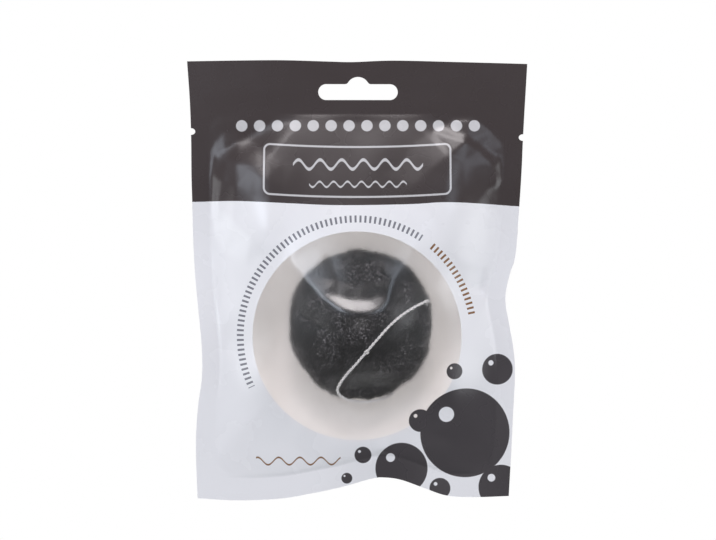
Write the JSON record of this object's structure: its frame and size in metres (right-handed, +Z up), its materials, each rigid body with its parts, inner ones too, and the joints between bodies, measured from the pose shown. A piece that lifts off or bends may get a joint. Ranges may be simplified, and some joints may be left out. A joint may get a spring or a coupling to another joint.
{
  "type": "konjac sponge",
  "caption": "Dark konjac half-ball sponge on a cotton loop, sealed in a flat printed film pouch with a clear round window, tear-off header and hanging slot.",
  "frame": {"origin": "centre of the hanging slot, in the pouch's middle plane", "axes": "+Z up along the hanging pouch, front towards -Y, +X to the right seen from the front"},
  "size_m": [0.1368, 0.034, 0.1755],
  "materials": {
    "white_film": "gloss",
    "dark_film": "gloss",
    "clear_film": "gloss",
    "konjac_sponge": "matte",
    "cotton_cord": "matte"
  },
  "bodies": {
    "pouch": {"front_panel": "white_film", "front_window": "clear_film", "front_band": "dark_film", "back_panel": "white_film", "back_band": "dark_film", "left_side_seal": "white_film", "right_side_seal": "white_film", "bottom_seal": "white_film"},
    "header": {"header_seal": "dark_film", "header_front_lip": "dark_film", "header_back_lip": "dark_film"},
    "sponge": {"sponge": "konjac_sponge", "hang_cord": "cotton_cord", "cord_stitch": "cotton_cord", "cord_knot": "cotton_cord"}
  },
  "joints": [
    {"name": "header_tear", "type": "hinge", "parent": "pouch", "child": "header", "pos_m": [0.0675, 0, -0.0171], "axis": [0, 1, 0], "range_deg": [0, 100]},
    {"name": "sponge_lift_out", "type": "slide", "parent": "pouch", "child": "sponge", "axis": [0, 0, 1], "range_m": [0, 0.15], "deforming": ["front_panel", "front_window", "front_band", "back_panel", "back_band"]}
  ],
  "couplings": [
    {"joint": "sponge_lift_out", "follows": "header_tear", "m_per_rad": 0.0859}
  ]
}
